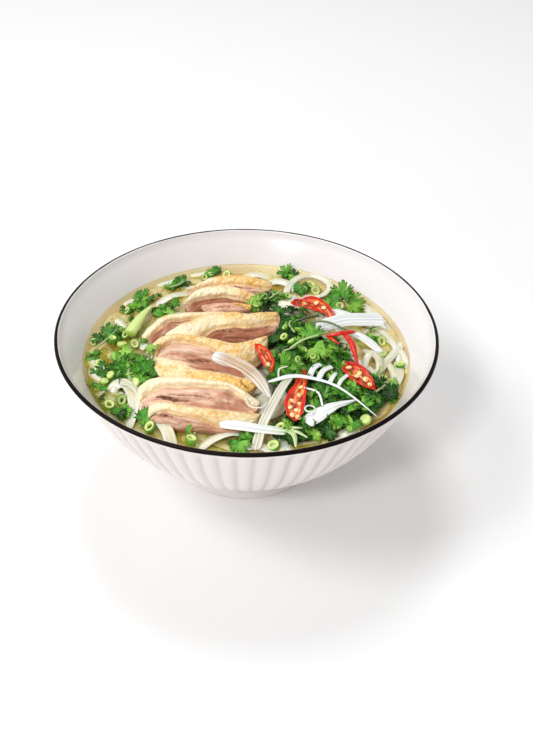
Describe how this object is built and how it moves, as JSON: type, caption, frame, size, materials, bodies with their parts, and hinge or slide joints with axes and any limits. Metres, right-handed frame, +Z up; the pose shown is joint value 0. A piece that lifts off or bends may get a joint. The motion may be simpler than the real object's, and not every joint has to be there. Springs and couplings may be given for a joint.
{
  "type": "bowl of noodle soup",
  "caption": "Fluted porcelain bowl of rice noodle soup with leaning slices of cooked duck, chili, scallion and coriander, shown in clear broth.",
  "frame": {"origin": "centre of the foot ring, on the table", "axes": "+Z up along the bowl's axis, -Y towards the side that the picture shows in front, +X to its right"},
  "size_m": [0.21, 0.21, 0.092],
  "materials": {
    "porcelain": "glazed porcelain, warm white",
    "broth": "clear golden broth, wet",
    "noodle": "wet translucent rice noodle",
    "duck": "cooked duck meat with yellow skin, moist",
    "chili": "cut red chili, wet",
    "scallion_white": "white scallion strip, wet",
    "scallion_green": "pale green scallion stalk",
    "herb": "fresh coriander leaf"
  },
  "bodies": {
    "root": {"bowl": "porcelain", "broth": "broth", "noodle_heap": "noodle", "duck_slice_1": "duck", "duck_slice_2": "duck", "duck_slice_3": "duck", "duck_slice_4": "duck", "duck_slice_5": "duck", "duck_slice_6": "duck", "duck_slice_7": "duck", "duck_slice_8": "duck", "duck_slice_9": "duck", "chili_1": "chili", "chili_2": "chili", "chili_3": "chili", "chili_4": "chili", "chili_5": "chili", "scallion_stalk": "scallion_green", "scallion_white_1": "scallion_white", "scallion_white_2": "scallion_white", "scallion_white_3": "scallion_white", "scallion_white_4": "scallion_white", "scallion_white_5": "scallion_white", "scallion_white_6": "scallion_white", "herb_heap_centre": "herb", "herb_heap_top": "herb", "herb_heap_back": "herb", "herb_heap_front": "herb", "herb_heap_left": "herb"}
  },
  "joints": []
}
